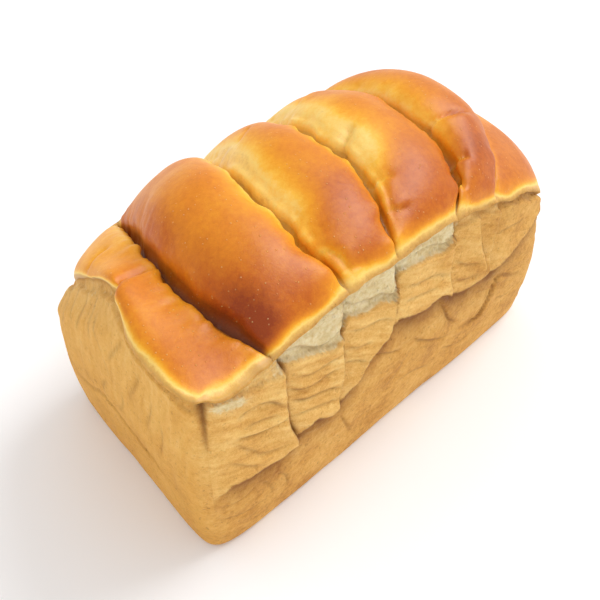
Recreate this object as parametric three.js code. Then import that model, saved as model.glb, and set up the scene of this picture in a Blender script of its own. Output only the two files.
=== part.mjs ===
// A tin loaf: one piece of white bread, baked from six rolls of dough laid side by side in an open
// oblong tin. The rolls have grown together into straight walls where the tin held them, and stand
// up as six domes above its rim. Millimetres, +Z up, +X along the loaf, and the origin is under the
// middle of the flat base.
import * as THREE from 'three';
import { mergeVertices } from 'three/addons/utils/BufferGeometryUtils.js';

// Driving dimensions
const baseLength = 243; // what the floor of the tin gave
const baseWidth = 127;
const rimFlare = 2; // how much further out each wall is at the rim than at the base
const wallBulge = 2.5; // how far a wall swells half way up
const rimHeight = 128; // height of the walls where the near side stands highest
const rimPeak = -24; // and the place of that along the loaf
const leftDrop = 12; // the rim is lower at the left end
const rightDrop = 34; // and at the right end
const farDrop = 20; // and along the far side, because the loaf rose unevenly
const cornerDrop = 30; // and lower again at the far left corner
const cornerDropStart = 0.3; // from this share of the half length, left of the middle
const farSideShift = 5; // the far side is that much further along +X than the near side
const rightEndLean = 6; // the right end leans in by that much at the rim
const baseEdge = 5; // rounding between the base and the walls
const baseInset = 2; // how far that rounding pulls the outline of the base in
const cornerSharpness = { base: 14, rim: 7 }; // the powers of the rounded oblong that the walls follow
const restPatch = { length: 200, width: 90 }; // the flat middle of the base

// The five creases between the six domes: their places at the near wall, how far each bows along the
// loaf at the middle, their places at the far wall, and how high each stands above the rim there.
const creases = [
  { near: -88, bow: -7, far: -80, rise: 2 },
  { near: -51, bow: -2, far: -38, rise: 9 },
  { near: -23, bow: 10, far: -6, rise: 14 },
  { near: 14, bow: 16, far: 34, rise: 17 },
  { near: 50, bow: 18, far: 68, rise: 13 },
];
const domeRises = [9, 17, 11, 10, 18, 9]; // how far each dome stands above the creases beside it

// How full the domes are: a higher power is a flatter top with steeper sides.
const archPower = 2.2; // along the loaf, from crease to crease
const nearPower = 2.3; // down to the near rim
const farFall = 0.8; // down to the far rim, which they meet at a slope
const farDropPower = 1.5; // how late the far side starts to drop

// How finely the skin is divided
const cellsPerDome = 7;
const cellsAcross = 20;
const cellsUp = 10;

const domeCount = domeRises.length;
const clamp01 = (t) => Math.min(1, Math.max(0, t));
const mix = (a, b, t) => a + (b - a) * t;

// The place of crease i along the loaf; the two ends count as creases 0 and 6.
function creasePlace(i, v, halfLength) {
  if (i === 0) return -halfLength;
  if (i === domeCount) return halfLength;
  const { near, bow, far } = creases[i - 1];
  return mix(near, far, (v + 1) / 2) + bow * (1 - v * v);
}

// The half length and half width of the walls at a share of their height.
function halfSizes(share) {
  const swell = rimFlare * share + wallBulge * Math.sin(Math.PI * share);
  return [baseLength / 2 + swell, baseWidth / 2 + swell];
}

// The height of the rim for a place given as shares of the half length and half width.
function rimAt(u, v) {
  const peak = (2 * rimPeak) / baseLength;
  const leftOfPeak = leftDrop * ((u - peak) / (1 + peak)) ** 2;
  const rightOfPeak = rightDrop * ((u - peak) / (1 - peak)) ** 2;
  const alongDrop = u < peak ? leftOfPeak : rightOfPeak;
  const farLeft = cornerDrop * clamp01((-u - cornerDropStart) / (1 - cornerDropStart));
  return rimHeight - alongDrop - (farDrop + farLeft) * clamp01(v) ** farDropPower;
}

// The height of the crown above the rim. Within a dome, within runs from 0 to 1 between its creases.
function crownAt(dome, within, v) {
  const nearArch = Math.sqrt(clamp01(1 - Math.abs(v) ** nearPower));
  const farArch = clamp01(1 - v * v) ** farFall;
  const side = 2 * within - 1;
  const arch = Math.sqrt(clamp01(1 - Math.abs(side) ** archPower));
  const left = dome === 0 ? creases[0].rise : creases[dome - 1].rise;
  const right = dome === domeCount - 1 ? creases[domeCount - 2].rise : creases[dome].rise;
  const level = mix(left, right, within);
  const atAnEnd = (dome === 0 && side < 0) || (dome === domeCount - 1 && side > 0);
  const height = atAnEnd ? (level + domeRises[dome]) * arch : level + domeRises[dome] * arch;
  return height * (v < 0 ? nearArch : farArch);
}

// A point of the skin. u and v run from -1 to 1 along and across, and up from 0 to 1 on the walls.
function skinPoint(u, v, up) {
  const [halfLength, halfWidth] = halfSizes(up);
  const along = ((u + 1) / 2) * domeCount;
  const dome = Math.min(domeCount - 1, Math.floor(along));
  const within = along - dome;
  const start = creasePlace(dome, v, halfLength);
  const end = creasePlace(dome + 1, v, halfLength);
  const flatX = mix(start, end, within);

  // Round the corners of the oblong.
  const uFlat = flatX / halfLength;
  const power = mix(cornerSharpness.base, cornerSharpness.rim, up);
  const reach = Math.max(Math.abs(uFlat), Math.abs(v));
  const round = (Math.abs(uFlat) ** power + Math.abs(v) ** power) ** (1 / power);
  const pull = round > 0 ? reach / round : 1;
  let x = flatX * pull;
  let y = v * halfWidth * pull;

  // Round the edge between the base and the walls, and lean the right end in.
  const rim = rimAt(uFlat, v);
  const low = clamp01(1 - (up * rim) / baseEdge);
  const inset = baseInset * (1 - Math.sqrt(1 - low * low));
  x *= 1 - inset / halfLength;
  y *= 1 - inset / halfWidth;
  x -= rightEndLean * up * clamp01(uFlat) ** 3;
  x += (farSideShift / 2) * (y / halfWidth);
  const crown = up === 1 ? crownAt(dome, within, v) : 0;
  return new THREE.Vector3(x, y, up * rim + crown);
}

// The skin starts as a box with its cells, whose points are then moved; the base is laid in flat.
function loafGeometry() {
  const box = new THREE.BoxGeometry(2, 2, 1, domeCount * cellsPerDome, cellsAcross, cellsUp);
  const underside = box.groups[5];
  const kept = [];
  for (let i = 0; i < box.index.count; i += 1) {
    const below = i >= underside.start && i < underside.start + underside.count;
    if (!below) kept.push(box.index.getX(i));
  }
  box.setIndex(kept);
  box.deleteAttribute('normal');
  box.deleteAttribute('uv');
  const skin = mergeVertices(box);
  const position = skin.attributes.position;

  const points = [];
  const outline = []; // the points where the walls meet the base
  for (let i = 0; i < position.count; i += 1) {
    const u = position.getX(i);
    const v = Math.sin((position.getY(i) * Math.PI) / 2);
    const up = position.getZ(i) + 0.5; // the box is 1 high, about its own middle
    points.push(skinPoint(u, v, up));
    if (up === 0) outline.push(i);
  }

  // Bring the middle of the whole outline over the origin.
  const extent = new THREE.Box3().setFromPoints(points);
  const middle = extent.getCenter(new THREE.Vector3());
  points.forEach((point) => point.sub(new THREE.Vector3(middle.x, middle.y, 0)));

  // Fill the base: each stretch of its outline is joined to the nearest corner of the flat patch.
  outline.sort((a, b) => Math.atan2(points[a].y, points[a].x) - Math.atan2(points[b].y, points[b].x));
  const corners = [[-1, -1], [1, -1], [1, 1], [-1, 1]].map(([sx, sy]) => {
    points.push(new THREE.Vector3((sx * restPatch.length) / 2, (sy * restPatch.width) / 2, 0));
    return points.length - 1;
  });
  const nearestCorner = (i) => corners.find(
    (corner) => points[corner].x * points[i].x >= 0 && points[corner].y * points[i].y >= 0,
  );
  const index = Array.from(skin.index.array);
  outline.forEach((here, k) => {
    const next = outline[(k + 1) % outline.length];
    const corner = nearestCorner(here);
    const nextCorner = nearestCorner(next);
    index.push(next, here, corner);
    if (nextCorner !== corner) index.push(next, corner, nextCorner);
  });
  index.push(corners[2], corners[1], corners[0], corners[3], corners[2], corners[0]);

  const geometry = new THREE.BufferGeometry().setFromPoints(points);
  geometry.setIndex(index);
  geometry.computeVertexNormals();
  return geometry;
}

const crust = new THREE.MeshStandardMaterial({ color: 0xd99a4e, roughness: 0.6, metalness: 0 });
const loaf = new THREE.Mesh(loafGeometry(), crust);
loaf.name = 'loaf';

const bread = new THREE.Group();
bread.add(loaf);
export default bread;
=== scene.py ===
import math

import bmesh
import bpy
import numpy as np
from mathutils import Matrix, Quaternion, Vector


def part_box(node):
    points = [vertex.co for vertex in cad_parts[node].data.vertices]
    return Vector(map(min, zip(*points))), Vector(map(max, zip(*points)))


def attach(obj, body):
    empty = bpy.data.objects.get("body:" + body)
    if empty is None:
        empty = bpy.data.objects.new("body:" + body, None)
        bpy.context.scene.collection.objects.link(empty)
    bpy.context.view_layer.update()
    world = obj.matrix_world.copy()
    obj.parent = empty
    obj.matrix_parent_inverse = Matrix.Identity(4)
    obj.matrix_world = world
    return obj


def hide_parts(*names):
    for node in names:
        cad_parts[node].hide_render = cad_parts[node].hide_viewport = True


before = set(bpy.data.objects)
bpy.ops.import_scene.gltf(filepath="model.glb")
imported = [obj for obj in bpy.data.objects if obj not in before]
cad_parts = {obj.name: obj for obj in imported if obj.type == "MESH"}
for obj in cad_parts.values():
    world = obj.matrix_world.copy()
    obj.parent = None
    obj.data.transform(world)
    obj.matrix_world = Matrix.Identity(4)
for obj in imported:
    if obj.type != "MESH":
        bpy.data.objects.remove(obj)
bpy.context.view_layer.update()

mm = 0.001
loafLow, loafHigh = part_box("loaf")
loafSize = (loafHigh - loafLow) / mm  # length, width and height of the loaf, in millimetres

# The loaf's shape, in millimetres: the near side is the low one in Y, and the left end the low one in X.
loafShape = {
    "rimFlare": 2.0,  # how much further out each wall is at the rim than at the base
    "wallBulge": 2.5,  # how far a wall swells half way up
    # the height of the rim along the two long sides, as (place along, height)
    "nearRim": [(-125, 113), (-105, 112), (-88, 116), (-65, 120), (-40, 124), (-10, 125.5), (15, 124.5),
                (40, 119), (60, 113.5), (80, 108), (105, 99), (125, 90)],
    "farRim": [(-125, 75), (-90, 89), (-60, 94), (-23, 101), (20, 102), (60, 102), (95, 98), (125, 74)],
    "endRise": 6.0,  # the left end's rim is higher in its middle
    "farSideShift": 5.0,  # the far side is that much further along the loaf
    "rightEndLean": 6.0,
    "leftShoulder": 9.0,  # how far the first dome stands in from the left end's wall, towards the far side
    "rightShoulder": 4.0,
    "baseEdge": 5.0,  # rounding between the base and the walls
    "baseInset": 2.0,
    "nearPower": 2.3,  # how full the crown is towards the near rim
    "lengthRoom": 3.7,  # what the flare and the bulge add at most to half the length
    "widthRoom": 3.58,
    "cornerPower": 14,  # how square the corners are at the base, and at the rim
    "rimCornerPower": 6.5,
    "cornerReach": 8,  # the higher, the nearer to the corner the rounding stays
    "shoulderFrom": 0.84,  # the shoulders start at this share of the walls' height
    "shoulderPower": 12,
    "middleShift": 1.28,  # the leaning end puts the middle of the outline that far to the left
}

# The creases between the domes: (place across, place along) from the near rim to the far rim, the
# seam below it down the near wall as (height, place along), and how high the crease stands there.
creases = [
    {"top": [(-67, -88), (-60, -90), (-51, -92), (-41, -93.5), (-28, -95), (-15, -95.5), (0, -94),
             (10, -93), (20, -90), (31, -86.5), (67, -78)],
     "seam": [(122, -88), (105, -82.5), (85, -81.5), (68, -79.5), (56, -76), (0, -82)],
     "rise": 2, "farDip": 12},
    {"top": [(-67, -49.5), (-57, -50.5), (-45, -53), (-37, -51.5), (-30, -50.5), (-17, -51), (-6, -50),
             (7, -47.5), (20, -44.5), (31, -40), (67, -32)],
     "seam": [(126, -49.5), (100, -50.5), (77, -48.5), (61, -51.5), (54, -50), (0, -45)],
     "rise": 9, "farDip": 12},
    {"top": [(-67, -22.5), (-57, -19.5), (-48, -15), (-37, -11), (-26, -8), (-16, -8), (-2, -9), (11, -6),
             (21, -4.5), (37, 2), (67, 6)],
     "seam": [(129, -22.5), (115, -19.5), (98, -18.5), (85, -21.5), (70, -24), (0, -10)],
     "rise": 14, "farDip": 11},
    {"top": [(-67, 16), (-63, 21), (-55, 28), (-44, 35), (-30, 39), (-16, 40), (-5, 42), (30, 44), (67, 40)],
     "seam": [(126, 16), (105, 19.5), (86, 20.5), (74, 24), (0, 28)],
     "rise": 17, "farDip": 6},
    {"top": [(-67, 48), (-61, 53), (-55, 60), (-47, 66.5), (-38, 74.5), (-28, 81), (-15, 85), (0, 87),
             (30, 86), (67, 80)],
     "seam": [(119, 48), (103, 54.5), (86, 55.5), (71, 55), (0, 72)],
     "rise": 20, "farDip": 5},
]

# The domes: how far each stands above its creases, and how flat its top is towards each side.
domes = [
    {"rise": 7, "leftPower": 2.2, "rightPower": 4.5, "farFall": 0.42},
    {"rise": 21, "leftPower": 2.8, "rightPower": 1.9, "farFall": 0.5},
    {"rise": 12, "leftPower": 1.8, "rightPower": 1.9, "farFall": 0.55},
    {"rise": 12, "leftPower": 1.9, "rightPower": 2.2, "farFall": 0.6},
    {"rise": 16, "leftPower": 2.0, "rightPower": 2.0, "farFall": 0.65},
    {"rise": 1, "leftPower": 2.2, "rightPower": 1.5, "farFall": 0.9},
]

halfLong = 125  # half the length and half the width at the rim, in millimetres
halfWide = 67
cornerLong = 123  # and the same at the corners
cornerWide = 65
outermost = 0.9999  # past this, a place on the cube from -1 to 1 is on its outside
noCrease = 99  # the distance from a crease where there is none

cells = {
    "along": 60,  # divided once into these, then halved levels times
    "across": 30,
    "up": 23,
    "levels": 2,
    "toCreases": 0.5,  # how far the cells gather towards the creases, and towards the rim
    "toRims": 0.7,
}


def mix(a, b, t):
    return a + (b - a) * t


def ease(low, high, t):  # 0 below low and 1 above high, with a soft way between them
    t = np.clip((t - low) / (high - low), 0, 1)
    return t * t * (3 - 2 * t)


def hump(distance, width):  # 1 at no distance, and near 0 past twice the width
    return np.exp(-(distance / width) ** 2)


def ridge(distance, height, place, width):  # a hump of that height where the distance is place
    return height * hump(distance - place, width)


def through(points, t):  # a smooth curve through a few (place, value) points, read at t
    points = sorted(points)
    place = np.array([p[0] for p in points], float)
    value = np.array([p[1] for p in points], float)
    slope = np.gradient(value, place)
    k = np.clip(np.searchsorted(place, t) - 1, 0, len(place) - 2)
    gap = place[k + 1] - place[k]
    s = np.clip((t - place[k]) / gap, 0, 1)
    near = value[k] * (1 + 2 * s) + slope[k] * gap * s
    far = value[k + 1] * (3 - 2 * s) - slope[k + 1] * gap * (1 - s)
    return near * (1 - s) ** 2 + far * s ** 2


primes = (73856093, 19349663, 83492791)  # these turn a place into a number that looks random
mixer = 1274126177
longMask = 0x7FFFFFFF
shortMask = 0xFFFFFF
seedStep = 17.31


def grain(points, size, seed):  # smooth random heights from -1 to 1, with bumps as far apart as size
    cell = points / np.asarray(size, float) + seed * seedStep
    corner = np.floor(cell).astype(np.int64)
    part = cell - corner
    part = part * part * (3 - 2 * part)
    total = np.zeros(len(points))
    for dx in (0, 1):
        for dy in (0, 1):
            for dz in (0, 1):
                mixed = (corner[:, 0] + dx) * primes[0] ^ (corner[:, 1] + dy) * primes[1]
                mixed = (mixed ^ (corner[:, 2] + dz) * primes[2]) & longMask
                mixed = (mixed ^ (mixed >> 13)) * mixer & longMask
                mixed = (mixed ^ (mixed >> 16)) & shortMask
                share = (part[:, 0] if dx else 1 - part[:, 0])
                share = share * (part[:, 1] if dy else 1 - part[:, 1])
                share = share * (part[:, 2] if dz else 1 - part[:, 2])
                total += share * (mixed / (shortMask // 2) - 1)
    return total


def alongPath(across, down, path, steps=6):
    # the distance from a curve through a few points, which side of it, and the share along it
    place = np.arange(len(path))
    t = np.linspace(0, len(path) - 1, (len(path) - 1) * steps + 1)
    px = through(list(zip(place, [p[0] for p in path])), t)
    py = through(list(zip(place, [p[1] for p in path])), t)
    best = np.full(len(across), 1e9)
    sign = np.ones(len(across))
    share = np.zeros(len(across))
    for k in range(len(t) - 1):
        ex, ey = px[k + 1] - px[k], py[k + 1] - py[k]
        s = np.clip(((across - px[k]) * ex + (down - py[k]) * ey) / (ex * ex + ey * ey + 1e-9), 0, 1)
        dx, dy = across - px[k] - s * ex, down - py[k] - s * ey
        d = np.hypot(dx, dy)
        closer = d < best
        best = np.where(closer, d, best)
        sign = np.where(closer, np.sign(ex * dy - ey * dx + 1e-12), sign)
        share = np.where(closer, (k + s) / (len(t) - 1), share)
    return best, sign, share


def rimAt(u, v):
    shape = loafShape
    near = through(shape["nearRim"], u * loafSize.x / 2)
    far = through(shape["farRim"], u * loafSize.x / 2)
    endRise = shape["endRise"] * hump(v + 0.12, 0.35) * np.clip((-u - 0.75) * 4, 0, 1)
    return mix(near, far, np.clip(v, 0, 1) ** 1.5) + endRise


# The seams down the far wall follow those of the near wall the other way round, with a wave of their own.
farSeams = {"mirror": -0.6, "wave": 5, "waveLength": 26, "waveStep": 1.7, "straightAt": 110}


def creaseAlong(i, v, z, side, halfLength):
    # where crease i runs: over the top by its place across, and down a long wall by its height
    if i == 0:
        return -halfLength
    if i == len(domes):
        return halfLength
    crease = creases[i - 1]
    onTop = through(crease["top"], v * halfWide)
    nearWall = through(crease["seam"], np.clip(z, 0, crease["seam"][0][0]))
    farWall = crease["top"][-1][1] + (nearWall - crease["seam"][0][1]) * farSeams["mirror"]
    wave = np.sin(z / farSeams["waveLength"] + i * farSeams["waveStep"])
    farWall = farWall + farSeams["wave"] * wave * (1 - z / farSeams["straightAt"])
    onWall = np.where(v < 0, nearWall, farWall)
    return np.where(side, onWall, onTop)


def crownAt(dome, side, v):
    nearArch = np.sqrt(np.clip(1 - np.abs(v) ** loafShape["nearPower"], 0, 1))
    height = np.zeros(len(v))
    last = len(domes) - 1
    for i, d in enumerate(domes):
        left, right = creases[max(i, 1) - 1], creases[min(i, last - 1)]
        neighbour = np.where(side < 0, domes[max(i - 1, 0)]["farFall"], domes[min(i + 1, last)]["farFall"])
        fall = mix(d["farFall"], (d["farFall"] + neighbour) / 2, side * side)
        farArch = np.clip(1 - v * v, 0, 1) ** fall
        power = np.where(side < 0, d["leftPower"], d["rightPower"])
        arch = np.sqrt(np.clip(1 - np.abs(side) ** power, 0, 1))
        dip = ease(0, 0.8, v) * (1 - arch)
        leftLevel = left["rise"] - left["farDip"] * dip
        rightLevel = right["rise"] - right["farDip"] * dip
        level = mix(leftLevel, rightLevel, (side + 1) / 2)
        outer = ((i == 0) & (side < 0)) | ((i == last) & (side > 0))
        high = np.where(outer, (level + d["rise"]) * arch, level + d["rise"] * arch)
        height = np.where(dome == i, high * np.where(v < 0, nearArch, farArch), height)
    return height


def skinPoints(grid):
    # grid holds each point's place on a cube from -1 to 1; the result is the loaf without its fine relief
    shape = loafShape
    count = len(domes)
    onTop = grid[:, 2] > outermost
    up = np.clip((grid[:, 2] + 1) / 2, 0, 1)
    along = (grid[:, 0] + 1) / 2 * count
    dome = np.minimum(count - 1, np.floor(along + 1e-6)).astype(int)
    t = np.clip(2 * (along - dome) - 1, -1, 1)
    side = mix(t, np.sin(t * math.pi / 2), cells["toCreases"])
    v = mix(grid[:, 1], np.sin(grid[:, 1] * math.pi / 2), cells["toRims"])
    v = np.where(np.abs(grid[:, 1]) > outermost, np.sign(grid[:, 1]), v)

    swell = shape["rimFlare"] * up + shape["wallBulge"] * np.sin(math.pi * up)
    halfLength = loafSize.x / 2 - shape["lengthRoom"] + swell
    halfWidth = loafSize.y / 2 - shape["widthRoom"] + swell
    onSide = (np.abs(grid[:, 1]) > outermost) & ~onTop
    flatX = np.zeros(len(v))
    fromLeft = np.zeros(len(v))
    fromRight = np.zeros(len(v))
    rimGuess = rimAt(grid[:, 0], v)
    for i in range(count):
        start = creaseAlong(i, v, up * rimGuess, onSide, halfLength)
        end = creaseAlong(i + 1, v, up * rimGuess, onSide, halfLength)
        here = dome == i
        flatX = np.where(here, mix(start, end, (side + 1) / 2), flatX)
        fromLeft = np.where(here, (end - start) * (side + 1) / 2, fromLeft)
        fromRight = np.where(here, (end - start) * (1 - side) / 2, fromRight)

    u = flatX / halfLength
    rimPower = np.where((u < 0) & (v < 0), shape["cornerPower"], shape["rimCornerPower"])
    power = mix(shape["cornerPower"], rimPower, up)
    reach = np.maximum(np.abs(u), np.abs(v))
    rounded = (np.abs(u) ** power + np.abs(v) ** power) ** (1 / power)
    pull = 1 + (reach / np.maximum(rounded, 1e-9) - 1) * reach ** shape["cornerReach"]
    x = flatX * pull
    y = v * halfWidth * pull

    rim = rimAt(u, v)
    low = np.clip(1 - up * rim / shape["baseEdge"], 0, 1)
    inset = shape["baseInset"] * (1 - np.sqrt(1 - low * low))
    x = x * (1 - inset / halfLength)
    y = y * (1 - inset / halfWidth)
    x = x - shape["rightEndLean"] * up * np.clip(u, 0, 1) ** 3
    x = x + shape["farSideShift"] / 2 * (y / halfWidth)
    atTop = ease(shape["shoulderFrom"], 1, up)
    x = x + shape["leftShoulder"] * atTop * np.clip(-u, 0, 1) ** shape["shoulderPower"] * ease(-0.5, 0.1, v)
    x = x - shape["rightShoulder"] * atTop * np.clip(u, 0, 1) ** shape["shoulderPower"]
    z = up * rim + np.where(onTop, crownAt(dome, side, v), 0)
    x = x + shape["middleShift"]
    info = {"dome": dome, "side": side, "u": u, "v": v, "up": up, "rim": rim, "onTop": onTop,
            "fromLeft": fromLeft, "fromRight": fromRight, "grid": grid}
    return np.stack([x, y, z], 1), info


def cutEdges(work, direction, cuts):
    # cuts every edge that runs along an axis into cuts + 1 pieces
    edges = [e for e in work.edges if abs(e.verts[0].co[direction] - e.verts[1].co[direction]) > 1e-6]
    bmesh.ops.subdivide_edges(work, edges=edges, cuts=cuts)


def makeSkin():
    work = bmesh.new()
    bmesh.ops.create_cube(work, size=2)
    cutEdges(work, 0, cells["along"] - 1)
    cutEdges(work, 1, cells["across"] - 1)
    cutEdges(work, 2, cells["up"] - 1)

    # the underside is laid in again as one ring and one flat middle
    under = [face for face in work.faces if face.calc_center_median().z < -outermost]
    bmesh.ops.delete(work, geom=under, context="FACES")
    outline = [edge for edge in work.edges if edge.is_boundary]
    ring = bmesh.ops.extrude_edge_only(work, edges=outline)["geom"]
    inner = [part for part in ring if isinstance(part, bmesh.types.BMVert)]
    bmesh.ops.scale(work, vec=(0.96, 0.96, 1), verts=inner)
    bmesh.ops.contextual_create(work, geom=[edge for edge in work.edges if edge.is_boundary])
    bmesh.ops.recalc_face_normals(work, faces=work.faces)
    mesh = bpy.data.meshes.new("bread")
    work.to_mesh(mesh)
    work.free()
    loaf = bpy.data.objects.new("bread", mesh)
    bpy.context.collection.objects.link(loaf)

    bpy.ops.object.select_all(action="DESELECT")
    bpy.context.view_layer.objects.active = loaf
    loaf.select_set(True)
    finer = loaf.modifiers.new("finer", "SUBSURF")
    finer.subdivision_type = "SIMPLE"
    finer.levels = cells["levels"]
    finer.render_levels = cells["levels"]
    bpy.ops.object.modifier_apply(modifier="finer")
    bpy.ops.object.shade_smooth()
    print("skin cut into", len(loaf.data.polygons), "cells")
    return loaf


def readVectors(items, name):
    values = np.empty(len(items) * 3)
    items.foreach_get(name, values)
    return values.reshape(-1, 3)


def lineKind(depth, width, step, reach):
    return {"depth": depth, "width": width, "step": step, "reach": reach}


# Lines in the walls, as (place along, height) on the long walls and (place across, height) on the end
# walls. Above or to the left of a line, going along it, the skin stands proud; on its other side it
# is sunk, so that the skins overlap like scales.
fineLine = lineKind(0.5, 1.1, 0.35, 4)
foldLine = lineKind(0.9, 1.3, 0.7, 6)
endLine = lineKind(0.4, 1.2, 0.3, 5)
lapLine = lineKind(1.3, 1.2, 1.9, 7)

# the lower edge of the overlapping skins on the near wall, as (place along, height)
lapEdge = [(-125, 46), (-112, 56), (-96, 53), (-86, 51), (-79, 53), (-74, 59), (-66, 60), (-58, 55),
           (-50, 58), (-40, 65), (-35, 74), (-28, 79), (-17, 87), (-6, 82), (4, 80), (14, 81),
           (26, 74), (38, 70), (49, 72), (60, 68), (72, 70), (84, 76), (100, 83), (125, 84)]

nearLines = [
    (foldLine, [
        [(97, 44), (84, 50), (74, 56), (69, 55), (67, 44), (62, 33), (52, 33), (42, 37)],
        [(-106, 95), (-98, 96), (-91, 93), (-85, 86)], [(-108, 84), (-99, 79), (-90, 77), (-82, 79)],
        [(-81, 91), (-74, 86), (-64, 84), (-54, 84)], [(-79, 82), (-72, 78), (-62, 75), (-52, 71)],
        [(-36, 75), (-26, 70), (-17, 64), (-10, 60)], [(-1, 61), (10, 52), (24, 43), (33, 39)],
        [(13, 80), (21, 68), (28, 55), (37, 46)],
    ]),
    (lapLine, [[(50, 73), (47, 84), (43, 94), (38, 107), (35, 117)]]),
    (fineLine, [
        [(-110, 83), (-103, 73), (-95, 63), (-84, 58)], [(-112, 72), (-104, 63), (-98, 58)],
        [(-104, 88), (-96, 86), (-88, 83)], [(-80, 72), (-70, 70), (-60, 66), (-53, 65)],
        [(-78, 97), (-70, 92), (-60, 91), (-51, 92)], [(-48, 100), (-40, 96), (-30, 95), (-22, 92)],
        [(-48, 90), (-41, 86), (-34, 85)], [(-49, 80), (-42, 78), (-36, 74)],
        [(-50, 48), (-44, 34), (-37, 19)], [(-16, 39), (-9, 42), (-6, 49), (-1, 55)],
        [(-15, 104), (-4, 100), (8, 97), (18, 92)], [(-14, 95), (-2, 92), (10, 89)],
        [(24, 95), (33, 88), (44, 84)], [(24, 84), (34, 79), (46, 77)], [(57, 93), (68, 92), (82, 90)],
        [(45, 60), (56, 56), (66, 50)], [(-118, 30), (-106, 24), (-94, 22)],
        [(-119, 42), (-108, 38), (-98, 40)], [(-90, 40), (-82, 30), (-80, 18)],
        [(-100, 44), (-92, 34), (-89, 22)], [(-6, 34), (8, 30), (22, 22)], [(30, 30), (44, 22), (60, 20)],
        [(75, 38), (88, 32), (104, 34)],
    ]),
]
leftEndLines = [
    (endLine, [
        [(29, 103), (26, 94), (21, 85), (17, 76)], [(17, 110), (13, 102), (8, 95), (3, 88)],
        [(-5, 106), (-4, 95), (2, 78)], [(-12, 111), (-10, 101), (-12, 88)],
        [(-52, 101), (-54, 92), (-60, 92), (-63, 97)],
        [(-66, 74), (-58, 76), (-50, 72), (-40, 64), (-30, 57), (-19, 51)], [(36, 92), (33, 80), (27, 68)],
        [(42, 84), (40, 70), (36, 58)], [(-22, 108), (-20, 96), (-24, 84)],
        [(-30, 104), (-31, 94), (-28, 84)], [(-40, 92), (-38, 82), (-42, 74)], [(12, 74), (8, 62), (2, 54)],
        [(-2, 70), (-8, 62), (-10, 54)],
        [(44, 40), (28, 41), (12, 44), (-4, 48), (-14, 49), (-24, 43), (-36, 38), (-50, 30)],
    ]),
]
farLines = [
    (lapLine, [
        [(-108, 50), (-84, 46), (-60, 55), (-34, 50), (-8, 62), (20, 58), (48, 64), (80, 54), (108, 60)],
    ]),
    (foldLine, [
        [(-104, 68), (-92, 64), (-80, 70)], [(-66, 80), (-54, 74), (-42, 72)],
        [(-26, 88), (-12, 80), (0, 78)], [(14, 84), (28, 76), (38, 70)],
    ]),
    (fineLine, [
        [(-70, 68), (-58, 64), (-46, 62)], [(52, 88), (66, 80), (80, 78)],
        [(-100, 36), (-86, 28), (-70, 26)], [(0, 40), (14, 32), (30, 30)], [(60, 40), (74, 30), (90, 32)],
    ]),
]
rightEndLines = [
    (lapLine, [[(-52, 44), (-30, 40), (-8, 46), (14, 42), (34, 46), (54, 38)]]),
    (foldLine, [
        [(-40, 84), (-36, 72), (-30, 62)], [(-14, 90), (-12, 78), (-16, 66)], [(18, 84), (14, 72), (8, 64)],
    ]),
    (fineLine, [
        [(38, 76), (32, 64), (30, 56)], [(2, 86), (4, 74), (0, 62)],
    ]),
]
# Folds over the domes, as (place across, place along); going along one, its left side stands proud.
deepFold = lineKind(2.4, 2.4, 2.0, 9)
endFold = lineKind(2.6, 2.4, 1.4, 7)
flankFold = lineKind(2.2, 2.4, 1.2, 7)
shortFold = lineKind(2.0, 1.8, 1.0, 5)
farFold = lineKind(1.2, 2.0, 0.8, 6)
topFolds = [
    (endFold, [[(-7, -121), (-5, -116), (-3, -111), (-2, -105), (-3, -98), (-5, -94)]]),
    (lineKind(1.2, 1.6, -0.8, 4), [[(-12, -99), (-10, -96), (-8, -94)]]),
    (lineKind(0.7, 3.0, 0.2, 6), [[(-42, -44), (-45, -49)]]),
    (lineKind(1.1, 1.8, -0.7, 5), [[(-48, -52), (-51, -48), (-56, -46), (-62, -46)]]),
    (lineKind(0.7, 1.4, 0.4, 4), [[(-61, -49), (-63, -43), (-65, -36)]]),
    (flankFold, [[(-22, -10), (-17, -5), (-15, 0), (-13, 6)]]),
    (lineKind(0.7, 1.6, 0.6, 5), [[(-39, -13), (-42, -8), (-44, -3)]]),
    (lineKind(0.6, 1.6, -0.6, 5), [[(-52, -17), (-56, -12), (-57, -7)]]),
    (deepFold, [[(-29, 36), (-27, 42), (-30, 50), (-33, 63)]]),
    (shortFold, [[(-48, 30), (-50, 34), (-53, 38)]]),
    (lineKind(2.0, 1.8, 1.0, 4), [[(-54, 26), (-58, 25), (-62, 24)]]),
    (farFold, [
        [(26, -112), (30, -104), (30, -96)],
        [(24, -30), (28, -22), (32, -14)],
        [(30, 10), (34, 20), (32, 30)],
    ]),
    (lineKind(1.0, 2.0, 0.6, 6), [[(10, 96), (14, 104), (20, 110)]]),
]


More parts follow.
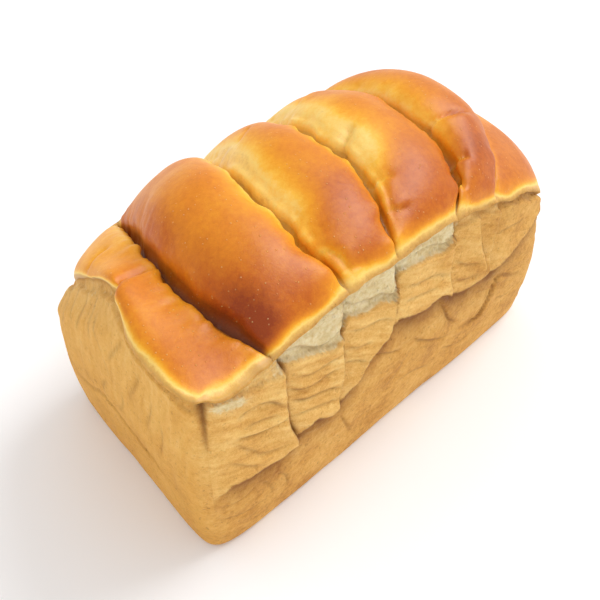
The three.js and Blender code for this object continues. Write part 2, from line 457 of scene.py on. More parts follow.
class Skin:  # the loaf's points, the place of each on the loaf, and the relief that is gathered for it
    def __init__(self, points, info):
        self.points = points
        self.x, self.y, self.z = points.T
        self.u, self.v, self.up, self.rim = info["u"], info["v"], info["up"], info["rim"]
        self.dome, self.side, self.onTop = info["dome"], info["side"], info["onTop"]
        across, along = info["grid"][:, 1], info["grid"][:, 0]
        offBase = self.up > 0
        self.wall = ~self.onTop & offBase
        self.nearSide = (across < -outermost) & offBase
        self.farSide = (across > outermost) & offBase
        self.leftEnd = (along < -outermost) & offBase
        self.rightEnd = (along > outermost) & offBase
        self.ends = self.leftEnd | self.rightEnd

        # the distances from the rim, over the domes and down the walls, and from the creases
        inward = np.minimum((1 - np.abs(self.v)) * halfWide, (1 - np.abs(self.u)) * halfLong)
        self.above = np.where(self.onTop, np.hypot(inward, np.maximum(self.z - self.rim, 0)), 0)
        self.below = np.where(self.onTop, 0, self.rim - self.z)
        self.gapLeft = np.where(self.dome > 0, info["fromLeft"], noCrease)
        self.gapRight = np.where(self.dome < len(domes) - 1, info["fromRight"], noCrease)
        self.crease = np.minimum(self.gapLeft, self.gapRight)
        self.lift = np.zeros(len(points))
        # painted shade, gathered where the skin lies in creases and grooves, and under overhangs
        self.groove = np.zeros(len(points))

    def grain(self, size, seed):
        return grain(self.points, size, seed)

    def paintShade(self, amount):
        # adds painted shade; where two overlap, the darker one stays
        self.groove = np.maximum(self.groove, amount)


# How a line fades at its ends, how sharp the step beside it is, and how dark and wide the painted shade
# along it is.
pressing = {"fade": 4, "fadeShare": 0.15, "notch": 0.4, "notchWidth": 0.8, "darkness": 0.8, "lineWidth": 0.8}


def pressLine(skin, kind, path, a, b, where, shade):
    # presses a line into the part of the skin that where picks out, and paints shade along it into shade; a
    # and b are its two places there
    reach = kind["reach"] * 2
    low = np.min(path, axis=0) - reach
    high = np.max(path, axis=0) + reach
    at = np.nonzero(where & (a > low[0]) & (a < high[0]) & (b > low[1]) & (b < high[1]))[0]
    distance, sign, share = alongPath(a[at], b[at], path)
    fade = np.minimum(1, pressing["fade"] * np.minimum(share, 1 - share) + pressing["fadeShare"])
    valley = -kind["depth"] * hump(distance, kind["width"])
    notch = 1 - pressing["notch"] * hump(distance, pressing["notchWidth"])
    step = kind["step"] * sign * hump(distance, kind["reach"]) * notch
    skin.lift[at] += (valley + step) * fade
    # painted shade along the line
    strength = min(1, kind["depth"] * pressing["darkness"])
    line = hump(distance, kind["width"] * pressing["lineWidth"])
    shade[at] = np.maximum(shade[at], strength * fade * line)


def pressLines(skin, groups, a, b, where, shade):
    for kind, paths in groups:
        for path in paths:
            pressLine(skin, kind, path, a, b, where, shade)


lumps = {"broad": 0.48, "broadSize": (34, 30, 28), "small": 0.32, "smallSize": (15, 14, 13), "onDomes": 0.5}
wrinkles = {
    "onSides": 0.45,
    "onEnds": 0.4125,
    "fineShare": 0.5,
    "sideLean": (0.4, 0.2, 0.35),  # how they lean on the long sides, and on the ends
    "endLean": 0.25,
    "sideSize": (22, 30, 5),
    "sideFineSize": (12, 20, 2.6),
    "endSize": (30, 5, 26),
    "endFineSize": (20, 2.6, 14),
    "noneToFull": (0, 14),  # in height from the base
    "lowShare": 0.45,  # they are weaker below the laps
    "lowToHigh": (35, 60),
}


def raiseLumps(skin):
    small = lumps["small"] * skin.grain(lumps["smallSize"], 2)
    skin.lift += lumps["broad"] * skin.grain(lumps["broadSize"], 1)
    skin.lift += small * np.where(skin.wall, 1, lumps["onDomes"])


def raiseWrinkles(skin):
    x, y, z = skin.x, skin.y, skin.z
    leanX, leanY, leanZ = wrinkles["sideLean"]
    slant = np.stack([x + leanX * z, y + leanY * z, z + leanZ * x], 1)
    upright = np.stack([x, y + wrinkles["endLean"] * z, z], 1)
    alongSides = 1 - 2 * np.abs(grain(slant, wrinkles["sideSize"], 3))
    upEnds = 1 - 2 * np.abs(grain(upright, wrinkles["endSize"], 4))
    fineEnds = grain(upright, wrinkles["endFineSize"], 5)
    fineSides = grain(slant, wrinkles["sideFineSize"], 6)
    ridges = np.where(skin.ends, upEnds, alongSides)
    ridges += wrinkles["fineShare"] * np.where(skin.ends, fineEnds, fineSides)
    share = ease(*wrinkles["noneToFull"], z) * mix(wrinkles["lowShare"], 1, ease(*wrinkles["lowToHigh"], z))
    depth = np.where(skin.ends, wrinkles["onEnds"], wrinkles["onSides"])
    skin.lift += depth * ridges * np.where(skin.wall, share, 0)


# The lower edge of the skins on the near wall: above it they stand proud, and below it is their shadow,
# painted into the colour, with a painted shade line along the edge.
laps = {
    "ragged": 0.8,
    "otherWalls": 46,  # the height where the other walls change their tone
    "start": (-124, -104),  # where along the loaf they fade in
    "weakerShare": 0.35,
    "weaker": (60, 90),
    "bulge": (1.6, 2, 8),  # height, place and width, as all ridges are given
    "undercut": 0.8,
    "undercutReach": 12,
    "line": (0.9, 0.3, 0.8),
    "shadow": 1.6,
    "shadowReach": 7,
    "shadowTop": 0.4,
    "darkest": 0.95,
}
# The seams down the walls between the six rolls of dough: the left one laps over the right one. A painted
# shade line runs down each seam.
seams = {
    "start": (-4, 5),  # in height above the edge of the laps
    "bulge": (1.9, 0, 8),
    "hollow": (1.9, 0, 6),
    "cut": (2.0, 0, 1.2),
    "lineWidth": 1.3,
    "farShare": 0.55,  # they are weaker on the far wall, and start along a wave
    "farStart": (40, 58),
    "farWave": 9,
    "farWaveLength": 23,
}


def raiseLaps(skin):
    place, height = zip(*lapEdge)
    edge = np.interp(skin.x, place, height) + laps["ragged"] * skin.grain((5, 5, 5), 18)
    skin.overLap = skin.z - np.where(skin.nearSide, edge, laps["otherWalls"])
    over = skin.overLap
    share = ease(*laps["start"], skin.x) * (1 - laps["weakerShare"] * ease(*laps["weaker"], skin.x))
    share = np.where(skin.nearSide & skin.wall, share, 0)
    undercut = laps["undercut"] * np.exp(over / laps["undercutReach"])
    skin.lift += share * np.where(over > 0, ridge(over, *laps["bulge"]), -undercut)
    skin.paintShade(share * ridge(over, *laps["line"]))
    shadow = laps["shadow"] * np.exp(np.minimum(over, 0) / laps["shadowReach"])
    skin.paintShade(share * np.where(over < laps["shadowTop"], np.minimum(laps["darkest"], shadow), 0))


def raiseSeams(skin):
    wave = seams["farWave"] * np.sin(skin.x / seams["farWaveLength"])
    farSeam = seams["farShare"] * ease(*seams["farStart"], skin.z + wave)
    share = np.where(skin.nearSide & skin.wall, ease(*seams["start"], skin.overLap), 0)
    share = np.where(skin.farSide & skin.wall, farSeam, share)
    raised = ridge(skin.gapRight, *seams["bulge"]) - ridge(skin.gapLeft, *seams["hollow"])
    skin.lift += share * (raised - ridge(skin.crease, *seams["cut"]))
    skin.paintShade(share * hump(skin.crease, seams["lineWidth"]))


# Where the walls' skin ends below the domes: (place along, height, how torn and pale it is above that).
tornEdge = [(-122, 112, 0.2), (-112, 110, 0.3), (-100, 107, 0.3), (-90, 105, 0.3), (-84, 107, 0.8),
            (-74, 105, 1), (-66, 101, 1), (-60, 98, 1), (-52, 101, 1), (-48, 109, 1), (-38, 105, 1),
            (-29, 104, 1), (-22, 102, 1), (-18, 115, 1), (-10, 113, 1), (0, 111, 1), (9, 109, 1),
            (15, 112, 0.8), (22, 116, 0.3), (34, 115, 0.25), (46, 112, 0.25), (54, 111, 0.3),
            (68, 106, 0.3), (82, 101, 0.3), (104, 92, 0.3), (122, 84, 0.3)]
tear = {
    "depth": 2.2,
    "shallowShare": 0.5,  # of the depth, where it is hardly torn
    "ragged": 1.8,
    "fineRagged": 0.35,
    "softness": 0.5,
    "farDrop": 7,  # how far below the rim the skin ends on the far wall, and on the end walls
    "farWander": 4,
    "endDrop": 4,
    "farTorn": 0.35,
    "endTorn": 0.15,
    "flakes": 0.6,
    "fineFlakes": 0.3,
    "rolledEdge": (1.0, -1.5, 2.2),  # the edge of the skin is rolled up a little
    # the edge line is painted shade along the torn edge of the skin
    "edgeLine": (0.35, 0.4, 0.8),
    "ledgeHeight": 6,  # a ledge runs along the band, with a hollow below it
    "ledgeWander": 3,
    "ledge": (0.9, 0, 1.5),
    "hollow": (0.7, -2.2, 1.5),
    # the ledge line is painted shade in the hollow below the ledge
    "ledgeLine": (0.45, -1.8, 0.9),
}
paleSkin = {"edge": (0.75, -3, 4), "edgeFrom": (96, 106), "shoulder": 0.3}


def tearBand(skin):
    place, height, tornShare = zip(*tornEdge)
    ragged = tear["ragged"] * skin.grain((7, 7, 7), 7) + tear["fineRagged"] * skin.grain((2.5, 2.5, 2.5), 8)
    nearEdge = np.interp(skin.x, place, height) + ragged
    farEdge = skin.rim - tear["farDrop"] + 2 * ragged + tear["farWander"] * skin.grain((22, 22, 40), 20)
    otherEdge = np.where(skin.farSide, farEdge, skin.rim - tear["endDrop"] + ragged)
    over = skin.z - np.where(skin.nearSide, nearEdge, otherEdge)
    farTorn = mix(tear["farTorn"], 1, ease(-0.2, 0.5, skin.grain((40, 40, 60), 21)))
    otherTorn = np.where(skin.farSide, farTorn, tear["endTorn"])
    torn = np.where(skin.nearSide, np.interp(skin.x, place, tornShare), otherTorn)

    opened = np.where(skin.wall, ease(-tear["softness"], tear["softness"], over), 0)
    band = opened * torn
    flakes = tear["flakes"] * skin.grain((9, 7, 3.5), 9) + tear["fineFlakes"] * skin.grain((3, 2.6, 2), 10)
    ledge = over - tear["ledgeHeight"] - tear["ledgeWander"] * skin.grain((11, 11, 30), 19)
    skin.lift -= opened * tear["depth"] * mix(tear["shallowShare"], 1, torn)
    skin.lift += band * (flakes + ridge(ledge, *tear["ledge"]) - ridge(ledge, *tear["hollow"]))
    skin.lift += np.where(skin.wall, ridge(over, *tear["rolledEdge"]), 0) * mix(0.4, 1, torn)
    # painted shade in the hollow below the ledge, and along the torn edge
    skin.paintShade(band * ridge(ledge, *tear["ledgeLine"]))
    skin.paintShade(np.where(skin.wall, ridge(over, *tear["edgeLine"]), 0) * mix(0.6, 1, torn))

    # pale skin along the first panel's edge, and over the shoulder of the left end
    fromCorner = (skin.u + 1) * cornerLong
    edge = ridge(over, *paleSkin["edge"]) * ease(*paleSkin["edgeFrom"], -skin.x) * ease(0, 8, fromCorner)
    shoulder = paleSkin["shoulder"] * ease(0.8, 0.95, skin.up) * ease(-0.5, 0.1, skin.v)
    pale = np.where(skin.nearSide & skin.wall, edge, 0) + np.where(skin.leftEnd & skin.wall, shoulder, 0)
    skin.torn = np.maximum(band, pale)


# The lower edge of the domes is a thin lip that overhangs the walls, and is ragged along its length; its
# shadow on the wall below is painted.
lips = {
    "stands": (1.2, 0, 2.4),
    "wave": 0.5,
    "under": (0.9, 1.4, 1.4),  # the wall is sunk just below the lip
    "shadow": (0.6, 1.4, 1.1),
    "setBackLine": (1.2, 0, 1.6),  # a line in place of the lip, where the domes stand in from the end walls
    "setBackShade": (0.4, 0, 1),
    "rightSetBack": 0.7,
    "shadowLost": 0.7,  # the share of the shadow that goes where the domes stand in
    "sag": 2.2,  # how far the edge strays up and down, and in finer steps
    "fineSag": 1.1,
    "sagReach": 3.2,
}


def raiseLips(skin):
    u, v = skin.u, skin.v
    setBack = np.where(u < -0.8, ease(-0.45, -0.1, v), 0) + np.where(u > 0.9, lips["rightSetBack"], 0)
    nearLeft = (u < 0) & (v < 0)
    cornerOff = (np.abs(u) * np.abs(v)) ** 14 * (1 - nearLeft)
    share = (1 + lips["wave"] * skin.grain((5, 5, 5), 11)) * (1 - cornerOff) * (1 - setBack)
    skin.lift += np.where(skin.onTop, share * ridge(skin.above, *lips["stands"]), 0)
    skin.lift -= np.where(skin.wall, ridge(skin.below, *lips["under"]), 0) * (1 - setBack)
    skin.lift -= setBack * np.where(skin.onTop, ridge(skin.above, *lips["setBackLine"]), 0)
    shadow = np.where(skin.wall, ridge(skin.below, *lips["shadow"]), 0)
    skin.paintShade(shadow * (1 - lips["shadowLost"] * setBack))
    skin.paintShade(setBack * np.where(skin.onTop, ridge(skin.above, *lips["setBackShade"]), 0))
    sag = lips["sag"] * skin.grain((12, 12, 30), 16) + lips["fineSag"] * skin.grain((4.5, 4.5, 30), 17)
    skin.sag = sag * hump(skin.above + skin.below, lips["sagReach"])


# The creases between the domes are puckered across, have a crinkled edge beside them, and painted shade
# along them.
pucker = {
    "cut": (1.3, 0, 1.2),
    "ripples": (1.2, 0, 6),
    "firstDome": (0.7, 5, 6),  # ripples along the right edge of the first dome
    "crinkleGap": 2.6,  # how far the crinkled edge is from the crease
    "crinkle": (1.1, 0, 1.1),
    "behind": (0.5, 2, 1.1),
    "tallest": 1.2,
    "otherDomes": 0.35,
    # the width of the painted shade along each crease, and how dark it is
    "lineWidth": 0.75,
    "line": 0.6,  # how dark the line is, where the first crease has 1
}


def pressCreases(skin):
    share = np.where(skin.onTop, ease(0, 6, skin.above), 0)
    ripple = skin.grain((16, 5, 40), 12) + 0.5 * skin.grain((7, 2.6, 40), 13)
    onFirst = ridge(skin.gapRight, *pucker["firstDome"]) * (skin.dome == 0)
    beside = ridge(skin.crease, *pucker["ripples"]) * (skin.crease > 0.5)
    skin.lift += share * (ripple * (beside + onFirst) - ridge(skin.crease, *pucker["cut"]))

    crinkle = 0.45 + 0.9 * skin.grain((5, 4, 40), 22) + 0.5 * skin.grain((9, 11, 40), 23)
    paleDomes = (skin.dome == 2) | (skin.dome == 3)
    crinkle = np.clip(crinkle, 0, pucker["tallest"]) * np.where(paleDomes, 1, pucker["otherDomes"])
    crinkle = crinkle * ease(-0.95, -0.7, skin.v)
    edge = skin.gapLeft - pucker["crinkleGap"] - 0.9 * skin.grain((8, 8, 40), 24)
    skin.lift += share * crinkle * (ridge(edge, *pucker["crinkle"]) - ridge(edge, *pucker["behind"]))
    skin.crinkle = crinkle * hump(edge, 1.3)

    # painted shade along each crease, darkest in the first
    firstCrease = hump(skin.dome + (skin.side > 0) - 1, 0.4)
    skin.paintShade(share * hump(skin.crease, pucker["lineWidth"]) * mix(pucker["line"], 1, firstCrease))


# The cleft at the near left corner, where the first panel comes away from the end wall, with painted shade
# in it.
cleft = {"depth": 2.4, "foot": (82, 92), "top": (110, 114), "narrow": 1.4, "wide": 3.2}


def cutCleft(skin):
    z = skin.z
    share = ease(*cleft["foot"], z) * (1 - ease(*cleft["top"], z)) * mix(0.5, 1, ease(90, 110, z))
    fromCorner = np.hypot((skin.u + 1) * cornerLong, (skin.v + 1) * cornerWide)
    width = mix(cleft["narrow"], cleft["wide"], ease(98, 112, z))
    cut = np.where(skin.wall, share * hump(fromCorner, width), 0)
    skin.lift -= cleft["depth"] * cut
    # painted shade in the cleft
    skin.paintShade(cut)


# How baked each dome is, and how much paler it is beside the crease on its left and on its right,
# as (amount, width of the pale strip), at the near side and at the far side.
baking = [
    {"base": 0.63, "left": (0.0, 1), "right": (0.10, 5), "farLeft": (0.0, 1), "farRight": (0.20, 6)},
    {"base": 0.63, "left": (-0.30, 11), "right": (0.24, 8), "farLeft": (-0.15, 8), "farRight": (0.42, 8)},
    {"base": 0.66, "left": (0.34, 8), "right": (0.12, 5), "farLeft": (0.60, 13), "farRight": (0.42, 6)},
    {"base": 0.65, "left": (0.22, 7), "right": (0.00, 6), "farLeft": (0.74, 14), "farRight": (0.10, 6)},
    {"base": 0.69, "left": (0.22, 7), "right": (0.00, 5), "farLeft": (0.42, 11), "farRight": (0.15, 6)},
    {"base": 0.61, "left": (0.25, 4), "right": (0.0, 1), "farLeft": (0.25, 5), "farRight": (0.0, 1)},
]
tone = {
    "palest": 0.22,  # away from the lip, the domes are never paler than this
    "lipFade": 7.5,  # the lip fades into the baked crust over that distance
    "firstLipFade": 7,
    "lipWander": 3,
    "cloud": 0.05,
    "nearBrown": 0.15,  # the near halves are browner
    "firstNearBrown": 0.08,
    "crinklePale": 0.1,
    "firstFarPale": 0.16,
    # the darker part, away from a crease, is painted shade in the folds
    "foldPale": -0.22,  # folds are paler beside a crease and darker away from it
    "foldDark": 0.12,
    "foldReach": (6, 14),
}


def bakeDomes(skin, foldShade):
    bake = np.zeros(len(skin.x))
    far = ease(-0.85, -0.4, skin.v)
    for i, b in enumerate(baking):
        leftAmount, leftWidth = [mix(a, c, far) for a, c in zip(b["left"], b["farLeft"])]
        rightAmount, rightWidth = [mix(a, c, far) for a, c in zip(b["right"], b["farRight"])]
        left = leftAmount * hump(skin.gapLeft, leftWidth)
        right = rightAmount * hump(skin.gapRight, rightWidth)
        bake = np.where(skin.dome == i, np.maximum(b["base"] - left - right, tone["palest"]), bake)
    first = skin.dome == 0
    fade = np.where(first, tone["firstLipFade"], tone["lipFade"])
    fade = fade + tone["lipWander"] * skin.grain((12, 12, 12), 14)
    bake = bake * ease(0.5, fade, skin.above) + tone["cloud"] * skin.grain((24, 20, 20), 15)
    # painted shade along the folds away from a crease; beside one they are paler instead
    bake += mix(tone["foldPale"], tone["foldDark"], ease(*tone["foldReach"], skin.gapLeft)) * foldShade
    nearBrown = np.where(first, tone["firstNearBrown"], tone["nearBrown"])
    bake += nearBrown * ease(0.3, 0.7, -skin.v) * ease(4, 12, skin.above)
    bake -= tone["crinklePale"] * skin.crinkle
    bake -= tone["firstFarPale"] * np.where(first, ease(0, 0.5, skin.v), 0)
    return np.where(skin.onTop, np.maximum(bake, tone["palest"] * ease(4, 9, skin.above)), 0)


# How golden the walls are: most below the laps, then at the right of the near wall and low on the ends.
golden = {"lapSoftness": 1.5, "right": 0.9, "rightFrom": (15, 85), "ends": 0.8, "endsTo": (44, 95)}


def goldenWalls(skin):
    low = np.where(skin.wall, 1 - ease(-golden["lapSoftness"], golden["lapSoftness"], skin.overLap), 1)
    right = golden["right"] * ease(*golden["rightFrom"], skin.x)
    ends = golden["ends"] * (1 - ease(*golden["endsTo"], skin.z))
    return np.maximum(low, np.maximum(np.where(skin.nearSide, right, 0), np.where(skin.ends, ends, 0)))


def makeRelief(points, info):
    skin = Skin(points, info)
    raiseLumps(skin)
    raiseWrinkles(skin)
    raiseLaps(skin)
    raiseSeams(skin)
    tearBand(skin)
    raiseLips(skin)
    pressCreases(skin)
    x, y, z = skin.x, skin.y, skin.z
    walls = [(nearLines, x, skin.nearSide), (leftEndLines, -y, skin.leftEnd), (farLines, x, skin.farSide),
             (rightEndLines, y, skin.rightEnd)]
    # the lines in the walls also paint shade along themselves
    for lines, along, where in walls:
        pressLines(skin, lines, along, z, where & skin.wall, skin.groove)
    foldShade = np.zeros(len(points))
    pressLines(skin, topFolds, y, x, skin.onTop & (skin.above > 2), foldShade)
    cutCleft(skin)
    marks = {
        "bake": bakeDomes(skin, foldShade),
        "torn": skin.torn,
        # painted shade from creases, grooves, the cleft and below overhangs
        "groove": skin.groove,
        "low": goldenWalls(skin),
        "dome": np.where(skin.onTop, ease(-0.2, 1.0, skin.above), 0),
        "end": np.where(skin.ends, ease(0, 9, cornerWide - np.abs(y)), 0),
    }
    return skin, marks


def makeLoaf():
    loaf = makeSkin()
    mesh = loaf.data
    points, info = skinPoints(readVectors(mesh.vertices, "co"))
    mesh.vertices.foreach_set("co", (points * mm).ravel())
    mesh.update()
    print("loaf shaped")
    skin, marks = makeRelief(points, info)
    under = points[:, 2] < 0.01  # the base stays flat
    points = points + readVectors(mesh.vertex_normals, "vector") * np.where(under, 0, skin.lift)[:, None]
    points[:, 2] = np.where(under, 0, np.maximum(points[:, 2] + skin.sag, 0.05))
    mesh.vertices.foreach_set("co", (points * mm).ravel())
    mesh.update()
    for name, values in marks.items():
        mark = mesh.attributes.new(name, "FLOAT", "POINT")
        mark.data.foreach_set("value", np.clip(values, 0, 1).astype(np.float32))
    print("relief raised")
    return loaf


loaf = makeLoaf()
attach(loaf, "root")
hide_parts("loaf")


def linear(red, green, blue):  # a colour as a screen shows it, from 0 to 255, in Blender's own values
    shares = [c / 255 for c in (red, green, blue)]
    return [c / 12.92 if c < 0.04045 else ((c + 0.055) / 1.055) ** 2.4 for c in shares] + [1]


class Wire:  # a socket whose value takes part in a sum
    def __init__(self, tree, socket):
        self.tree = tree
        self.socket = socket

    def maths(self, operation, a, b):
        node = self.tree.nodes.new("ShaderNodeMath")
        node.operation = operation
        for slot, value in zip(node.inputs, (a, b)):
            if isinstance(value, Wire):
                self.tree.links.new(value.socket, slot)
            else:
                slot.default_value = value
        return Wire(self.tree, node.outputs[0])

    def __add__(self, other):
        return self.maths("ADD", self, other)

    def __radd__(self, other):
        return self.maths("ADD", other, self)

    def __sub__(self, other):
        return self.maths("SUBTRACT", self, other)

    def __rsub__(self, other):
        return self.maths("SUBTRACT", other, self)

    def __mul__(self, other):
        return self.maths("MULTIPLY", self, other)

    def __rmul__(self, other):
        return self.maths("MULTIPLY", other, self)


class Finish:  # a material and its nodes
    def __init__(self, name):
        self.material = bpy.data.materials.new(name)
        self.material.use_nodes = True
        self.tree = self.material.node_tree
        self.shader = self.tree.nodes["Principled BSDF"]

    def node(self, kind, settings, sockets, output=0):
        node = self.tree.nodes.new(kind)
        for name, value in settings.items():
            if name == "stops":
                self.setStops(node.color_ramp, value)
            else:
                setattr(node, name, value)
        self.fill(node, sockets)
        return Wire(self.tree, node.outputs[output])

    def setStops(self, ramp, stops):
        while len(ramp.elements) < len(stops):
            ramp.elements.new(0.5)
        for stop, (place, colour) in zip(ramp.elements, stops):
            stop.position = place
            stop.color = colour

    def fill(self, node, sockets):
        for name, value in sockets.items():
            if isinstance(value, Wire):
                self.tree.links.new(value.socket, node.inputs[name])
            else:
                node.inputs[name].default_value = value

    def mark(self, name):  # one of the piece's own attributes
        return self.node("ShaderNodeAttribute", {"attribute_name": name}, {}, "Fac")

    def noise(self, place, scale, detail, roughness=0.5):
        sockets = {"Vector": place, "Scale": scale, "Detail": detail, "Roughness": roughness}
        return self.node("ShaderNodeTexNoise", {}, sockets)

    def stretch(self, place, turn, size):
        return self.node("ShaderNodeMapping", {"vector_type": "TEXTURE"},
                         {"Vector": place, "Rotation": turn, "Scale": size})

    def ramp(self, value, stops):
        return self.node("ShaderNodeValToRGB", {"stops": stops}, {"Fac": value})

    def blend(self, share, first, second):
        return self.node("ShaderNodeMix", {"data_type": "RGBA"}, {0: share, 6: first, 7: second}, 2)

    def window(self, value, low, high):  # 0 below low and 1 above high
        settings = {"interpolation_type": "SMOOTHSTEP"}
        return self.node("ShaderNodeMapRange", settings, {"Value": value, "From Min": low, "From Max": high})


crustFinish = {
    "dome": [(0.0, linear(214, 166, 94)), (0.09, linear(226, 176, 90)), (0.2, linear(251, 211, 116)),
             (0.33, linear(249, 190, 66)), (0.46, linear(240, 162, 34)), (0.64, linear(222, 132, 26)),
             (0.82, linear(194, 98, 20)), (1.0, linear(150, 62, 18))],
    "wall": [(0.0, linear(196, 134, 56)), (0.4, linear(227, 172, 90)), (0.7, linear(242, 196, 116)),
             (1.0, linear(250, 214, 146))],
    "end": linear(230, 168, 72),
    "low": [(0.0, linear(170, 106, 36)), (0.5, linear(217, 158, 74)), (1.0, linear(240, 190, 110))],
    "torn": [(0.0, linear(200, 166, 104)), (0.5, linear(229, 207, 156)), (1.0, linear(248, 236, 200))],
    # the colour of the painted shade in grooves, creases and below overhangs, and also of the pores
    "line": linear(108, 52, 14),
    "blister": linear(250, 205, 130),
    "lowShare": 0.85,  # how much of each colour covers the one before it
    "endShare": 0.45,
    "blisterShare": 0.42,
    # how much the painted shade covers where it is fullest
    "lineShare": 0.82,
    "domeRoughness": 0.42,
    "wallRoughness": 0.72,
    "specular": 0.2,
    "glow": 0.12,
    "glowRadius": (0.006, 0.003, 0.0015),
    "glowScale": 0.6,
    "bumpStrength": 0.6,
    "bumpDepth": 0.0008,
    "poreShare": 0.16,
    "lowPoreShare": 0.2,
    "tornSoftShare": 0.4,  # the rest of the torn colour ends at a flaky edge
    "flakeRagged": 0.8,
    "roughnessCloud": 0.2,
}
# How much each noise changes the tone of each part, and its relief.
domeTone = {"mottle": 0.30, "fine": 0.20, "dust": 0.10}
wallTone = {"streak": 1.1, "mottle": 0.7, "fine": 0.5, "dust": 0.6}
lowTone = {"mottle": 1.3, "fine": 0.9, "dust": 0.4}
tornTone = {"fine": 1.2, "mottle": 0.8}
wallRelief = {"streak": 1.2, "fine": 1.2, "dust": 0.8, "pores": -0.8}
domeRelief = {"fine": 0.22, "dust": 0.14, "blister": 0.6}
tornRelief = 0.8
# The values between which each of these comes in.
windows = {"spot": (0.05, 0.17), "patch": (0.36, 0.52), "bakedEnough": (0.35, 0.6), "pore": (0.62, 0.72),
           "flake": (0.35, 0.6)}
grains = {
    "mottle": (55, 4, 0.55),  # scale, detail and roughness
    "fine": (420, 3, 0.6),
    "dust": (1500, 2, 0.6),
    "pores": (620, 2, 0.6),
    "patches": (130, 1),  # where the blisters gather
    "blisters": 380,
    "streak": (1, 4, 0.6),
    "streakTurn": (0, 0.38, 0),  # streaks lean along the long sides and stand up the ends
    "streakSize": (0.02, 0.02, 0.0035),
    "uprightTurn": (0.2, 0, 0),
    "uprightSize": (0.02, 0.0035, 0.02),
}


def vary(start, noises, amounts, middle=0.5):
    for name, amount in amounts.items():
        start = start + (noises[name] - middle) * amount
    return start


def makeCrust():
    f = Finish("crust")
    place = f.node("ShaderNodeTexCoord", {}, {}, "Object")
    # one of the marks is painted shade, from creases, grooves and overhangs
    names = ("bake", "torn", "groove", "low", "dome", "end")
    bake, torn, groove, low, dome, end = [f.mark(name) for name in names]
    wall = 1 - dome

    mottle = f.noise(place, *grains["mottle"])
    fine = f.noise(place, *grains["fine"])
    dust = f.noise(place, *grains["dust"])
    sideStreak = f.noise(f.stretch(place, grains["streakTurn"], grains["streakSize"]), *grains["streak"])
    endStreak = f.noise(f.stretch(place, grains["uprightTurn"], grains["uprightSize"]), *grains["streak"])
    streak = sideStreak * (1 - end) + endStreak * end
    noises = {"mottle": mottle, "fine": fine, "dust": dust, "streak": streak}

    # domes: from the pale lower lip through yellow and orange to brown, with small pale blisters
    domeColour = f.ramp(vary(bake, noises, domeTone), crustFinish["dome"])
    spots = f.node("ShaderNodeTexVoronoi", {}, {"Vector": place, "Scale": grains["blisters"]}, "Distance")
    gathered = f.window(f.noise(place, *grains["patches"]), *windows["patch"])
    blister = (1 - f.window(spots, *windows["spot"])) * gathered * f.window(bake, *windows["bakedEnough"])
    domeColour = f.blend(blister * crustFinish["blisterShare"], domeColour, crustFinish["blister"])

    # walls: matte tan with fine streaks, more golden near the base and at the ends, and cream where torn
    wallColour = f.ramp(vary(0.5, noises, wallTone), crustFinish["wall"])
    lowColour = f.ramp(vary(0.5, noises, lowTone), crustFinish["low"])
    tornColour = f.ramp(vary(0.5, noises, tornTone), crustFinish["torn"])
    flake = f.window(torn + (fine - 0.5) * crustFinish["flakeRagged"], *windows["flake"])
    tornShare = torn * crustFinish["tornSoftShare"] + flake * (1 - crustFinish["tornSoftShare"])
    wallColour = f.blend(low * crustFinish["lowShare"], wallColour, lowColour)
    wallColour = f.blend(end * crustFinish["endShare"], wallColour, crustFinish["end"])
    wallColour = f.blend(tornShare, wallColour, tornColour)

    # painted shade in the grooves, creases and under overhangs, and brown in the pores
    pores = f.window(f.noise(place, *grains["pores"]), *windows["pore"]) * wall
    poreShare = pores * (crustFinish["poreShare"] + crustFinish["lowPoreShare"] * low)
    colour = f.blend(dome, wallColour, domeColour)
    colour = f.blend(groove * crustFinish["lineShare"], colour, crustFinish["line"])
    colour = f.blend(poreShare, colour, crustFinish["line"])

    noises["pores"] = pores
    noises["blister"] = blister
    height = vary(0, noises, wallRelief, 0) * wall + vary(0, noises, domeRelief, 0) * dome
    relief = {
        "Strength": crustFinish["bumpStrength"],
        "Distance": crustFinish["bumpDepth"],
        "Height": height + torn * fine * tornRelief,
    }
    bump = f.node("ShaderNodeBump", {}, relief, "Normal")
    rough = crustFinish["wallRoughness"] * wall + crustFinish["domeRoughness"] * dome
    rough = rough + (mottle - 0.5) * crustFinish["roughnessCloud"]
    f.fill(f.shader, {
        "Base Color": colour,
        "Roughness": rough,
        "Normal": bump,
        "Specular IOR Level": crustFinish["specular"],
        "Subsurface Weight": crustFinish["glow"],
        "Subsurface Radius": crustFinish["glowRadius"],
        "Subsurface Scale": crustFinish["glowScale"],
    })
    return f.material


loaf.data.materials.append(makeCrust())
print("crust finished")

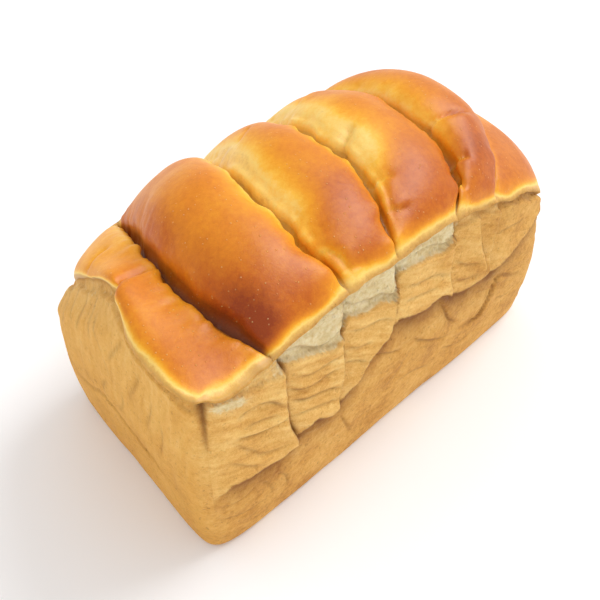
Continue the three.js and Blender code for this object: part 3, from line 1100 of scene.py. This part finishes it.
paperFinish = {"Base Color": (0.95, 0.95, 0.96, 1), "Roughness": 0.9}
bpy.ops.object.select_all(action="DESELECT")
bpy.ops.mesh.primitive_plane_add(size=6, location=(0, 0, 0))
floor = bpy.context.object
floor.name = "floor"
paper = Finish("paper")
paper.fill(paper.shader, paperFinish)
floor.data.materials.append(paper.material)
print("floor laid")

studio = {
    "sky": 0.86,
    "sun": 1.5,
    "sunFrom": (0.9, -0.1, 0.95),
    "sunSpread": 32,  # in degrees
    "panel": 13,  # a soft panel overhead adds only the sheen of the domes
    "panelSize": 0.7,
    "panelFrom": (0.3, -0.14, 0.93),
}
world = bpy.data.worlds.new("studio")
bpy.context.scene.world = world
world.use_nodes = True
world.node_tree.nodes["Background"].inputs["Color"].default_value = (1, 1, 1, 1)
world.node_tree.nodes["Background"].inputs["Strength"].default_value = studio["sky"]


def addLamp(kind, name, place, power):
    bpy.ops.object.light_add(type=kind, location=place)
    lamp = bpy.context.object
    lamp.name = name
    lamp.data.energy = power
    lamp.rotation_euler = Vector(place).to_track_quat("Z", "Y").to_euler()
    return lamp


sun = addLamp("SUN", "window light", studio["sunFrom"], studio["sun"])
sun.data.angle = math.radians(studio["sunSpread"])
panel = addLamp("AREA", "overhead panel", studio["panelFrom"], studio["panel"])
panel.data.size = studio["panelSize"]
panel.visible_diffuse = False
print("lamps set")

# Where the camera stands from its target: degrees left of the front and above the floor, and millimetres.
viewFrom = {"azimuth": -44.62, "elevation": 44.79, "distance": 365.93, "target": (-14.81, -3.46, 50),
            "roll": 1.7, "lens": 42, "sensor": 36}
azimuth = math.radians(viewFrom["azimuth"])
elevation = math.radians(viewFrom["elevation"])
level = math.cos(elevation)
back = Vector((math.sin(azimuth) * level, -math.cos(azimuth) * level, math.sin(elevation)))
bpy.ops.object.camera_add()
camera = bpy.context.object
camera.location = (Vector(viewFrom["target"]) + back * viewFrom["distance"]) * mm
camera.rotation_mode = "QUATERNION"
turn = (-back).to_track_quat("-Z", "Y")
camera.rotation_quaternion = turn @ Quaternion((0, 0, 1), math.radians(viewFrom["roll"]))
camera.data.lens = viewFrom["lens"]
camera.data.sensor_width = viewFrom["sensor"]
bpy.context.scene.camera = camera
bpy.context.scene.view_settings.view_transform = "Standard"
